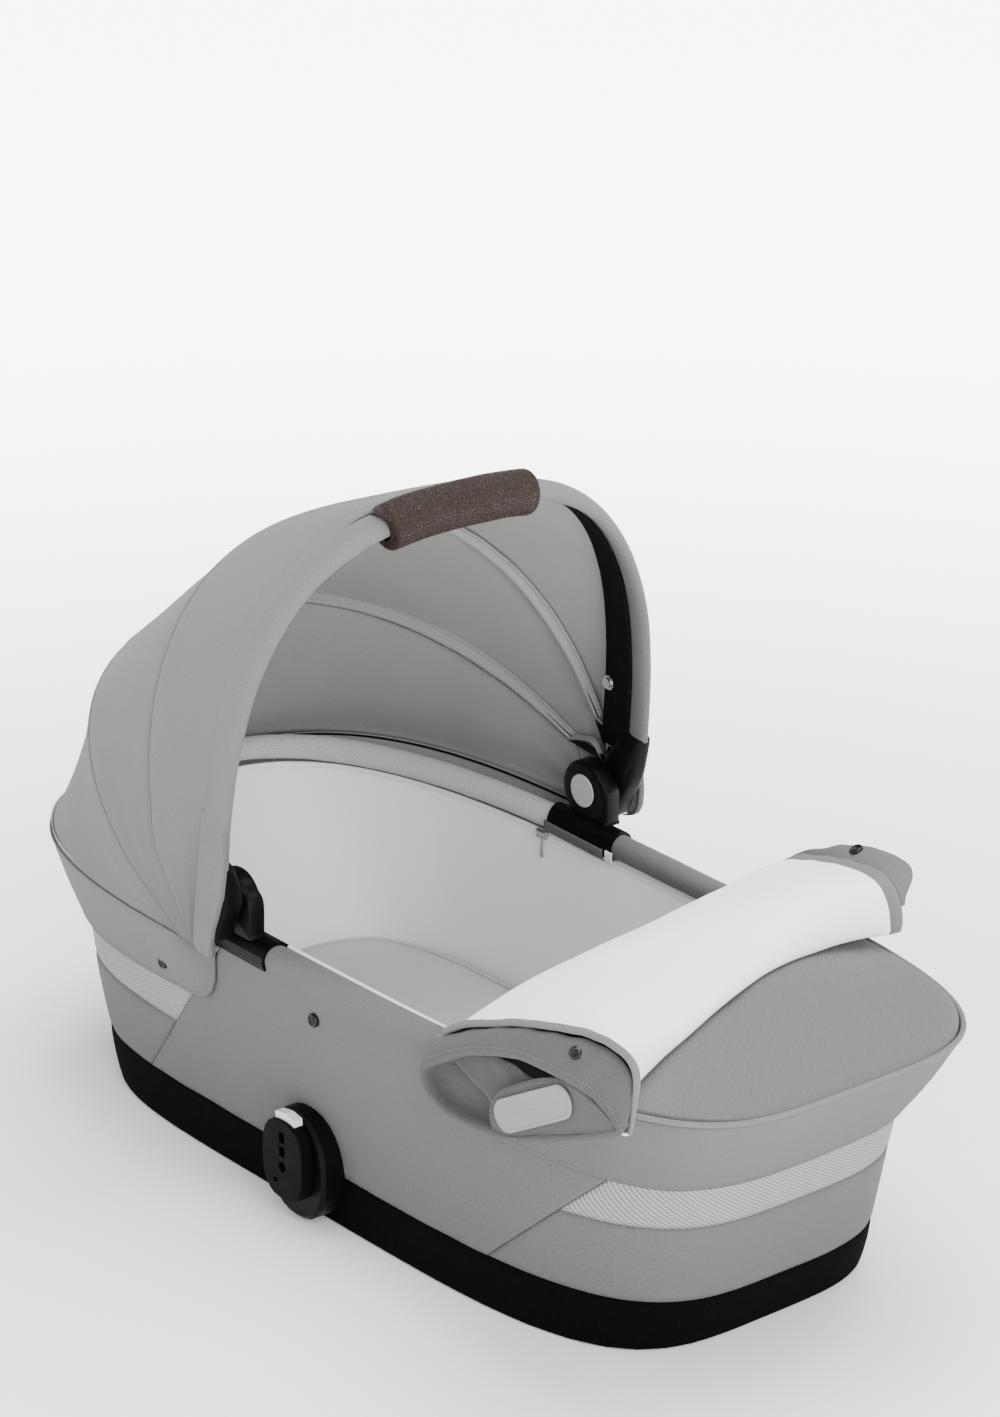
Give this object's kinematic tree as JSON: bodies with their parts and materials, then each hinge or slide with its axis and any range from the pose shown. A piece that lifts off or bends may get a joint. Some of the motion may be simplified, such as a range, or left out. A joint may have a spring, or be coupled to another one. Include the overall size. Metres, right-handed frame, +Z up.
{
  "type": "carrycot",
  "caption": "Soft-walled pram carrycot with a folding hood on a carry bow, a padded grip, a buttoned foot cover with a folded flap, a mattress and side latch adapters.",
  "frame": {"origin": "centre of the base tray on the floor, midway between the side adapters' faces", "axes": "+X towards the foot end, +Y towards the side with the zip slider, +Z up"},
  "size_m": [0.8593, 0.4504, 0.5568],
  "materials": {
    "grey_fabric": "matte",
    "inner_fabric": "matte",
    "white_fabric": "satin",
    "mattress_fabric": "matte",
    "mesh_fabric": "matte",
    "black_fabric": "matte",
    "padding": "matte",
    "grip_leather": "satin",
    "black_plastic": "satin",
    "dark_plastic": "satin",
    "grey_plastic": "satin",
    "white_plastic": "satin",
    "aluminium": "satin",
    "steel": "satin",
    "board": "matte"
  },
  "bodies": {
    "tub": {"adapter_boss_far": "black_plastic", "adapter_boss_near": "black_plastic", "adapter_plate_far": "dark_plastic", "adapter_plate_near": "dark_plastic", "base_band": "black_fabric", "base_tray": "black_plastic", "cover_piping": "grey_fabric", "cover_skirt": "grey_fabric", "cover_top": "grey_fabric", "foot_panel": "grey_fabric", "foot_vent": "mesh_fabric", "head_panel": "grey_fabric", "head_vent": "mesh_fabric", "hinge_housing_far": "black_plastic", "hinge_housing_near": "black_plastic", "hinge_pin_far": "steel", "hinge_pin_near": "steel", "hood_panel_rear": "grey_fabric", "hood_skirt": "grey_fabric", "liner": "white_fabric", "mattress": "mattress_fabric", "mattress_board": "board", "rim_binding": "white_fabric", "rim_sleeve": "grey_fabric", "rim_tube": "aluminium", "saddle_far": "black_plastic", "saddle_near": "black_plastic", "side_panel_far": "grey_fabric", "side_panel_near": "grey_fabric", "skirt_snap_far": "black_plastic", "skirt_snap_near": "black_plastic", "wall_padding": "padding", "wall_snap_far": "black_plastic", "wall_snap_near": "black_plastic", "zip_tape_foot": "white_fabric", "zip_tape_head": "white_fabric"},
    "hood_rear_rib": {"hood_rib_b": "black_plastic", "hood_panel_middle": "grey_fabric"},
    "hood_front_rib": {"hood_rib_a": "black_plastic", "hood_panel_front": "grey_fabric"},
    "bow": {"bow_tube": "aluminium", "bow_sleeve": "grey_fabric", "carry_grip": "grip_leather", "bow_arm_near": "black_plastic", "bow_arm_far": "black_plastic", "bow_strap_near": "black_fabric", "bow_strap_far": "black_fabric", "bow_stud_near": "steel", "bow_stud_far": "steel"},
    "flap": {"cover_flap": "white_fabric", "flap_cuff": "grey_fabric", "flap_tongue": "grey_fabric", "flap_tag": "white_plastic", "flap_snap_near": "black_plastic", "flap_snap_far": "black_plastic"},
    "hinge_button_near": {"hinge_button_near": "grey_plastic"},
    "hinge_button_far": {"hinge_button_far": "grey_plastic"},
    "release_button_near": {"release_button_near": "white_plastic"},
    "release_button_far": {"release_button_far": "white_plastic"},
    "zip_slider": {"zip_slider": "white_plastic"}
  },
  "joints": [
    {"name": "hood_rear_fold", "type": "hinge", "parent": "tub", "child": "hood_rear_rib", "pos_m": [-0.0912, 0, 0.2428], "axis": [0, -1, 0], "range_deg": [0, 23], "deforming": ["hood_panel_rear"]},
    {"name": "hood_front_fold", "type": "hinge", "parent": "hood_rear_rib", "child": "hood_front_rib", "pos_m": [-0.0912, 0, 0.2428], "axis": [0, -1, 0], "range_deg": [0, 23], "deforming": ["hood_panel_middle"]},
    {"name": "bow_fold", "type": "hinge", "parent": "hood_front_rib", "child": "bow", "pos_m": [-0.0912, 0, 0.2428], "axis": [0, -1, 0], "range_deg": [0, 23], "deforming": ["hood_panel_front"]},
    {"name": "flap_unfold", "type": "hinge", "parent": "tub", "child": "flap", "pos_m": [0.152, 0, 0.2427], "axis": [0, -1, 0], "range_deg": [0, 95]},
    {"name": "hinge_button_press_near", "type": "slide", "parent": "tub", "child": "hinge_button_near", "axis": [0, -1, 0], "range_m": [0, 0.003], "stiffness_N_per_m": 600, "springref_m": -0.001},
    {"name": "hinge_button_press_far", "type": "slide", "parent": "tub", "child": "hinge_button_far", "axis": [0, 1, 0], "range_m": [0, 0.003], "stiffness_N_per_m": 600, "springref_m": -0.001},
    {"name": "release_press_near", "type": "slide", "parent": "tub", "child": "release_button_near", "axis": [0, 0, -1], "range_m": [0, 0.004], "stiffness_N_per_m": 500, "springref_m": -0.002},
    {"name": "release_press_far", "type": "slide", "parent": "tub", "child": "release_button_far", "axis": [0, 0, -1], "range_m": [0, 0.004], "stiffness_N_per_m": 500, "springref_m": -0.002},
    {"name": "zip_run", "type": "slide", "parent": "tub", "child": "zip_slider", "axis": [-0.9986, -0.0538, 0], "range_m": [0, 0.06]}
  ],
  "couplings": [
    {"joint": "hood_front_fold", "follows": "hood_rear_fold", "ratio": 1},
    {"joint": "bow_fold", "follows": "hood_rear_fold", "ratio": 1}
  ]
}
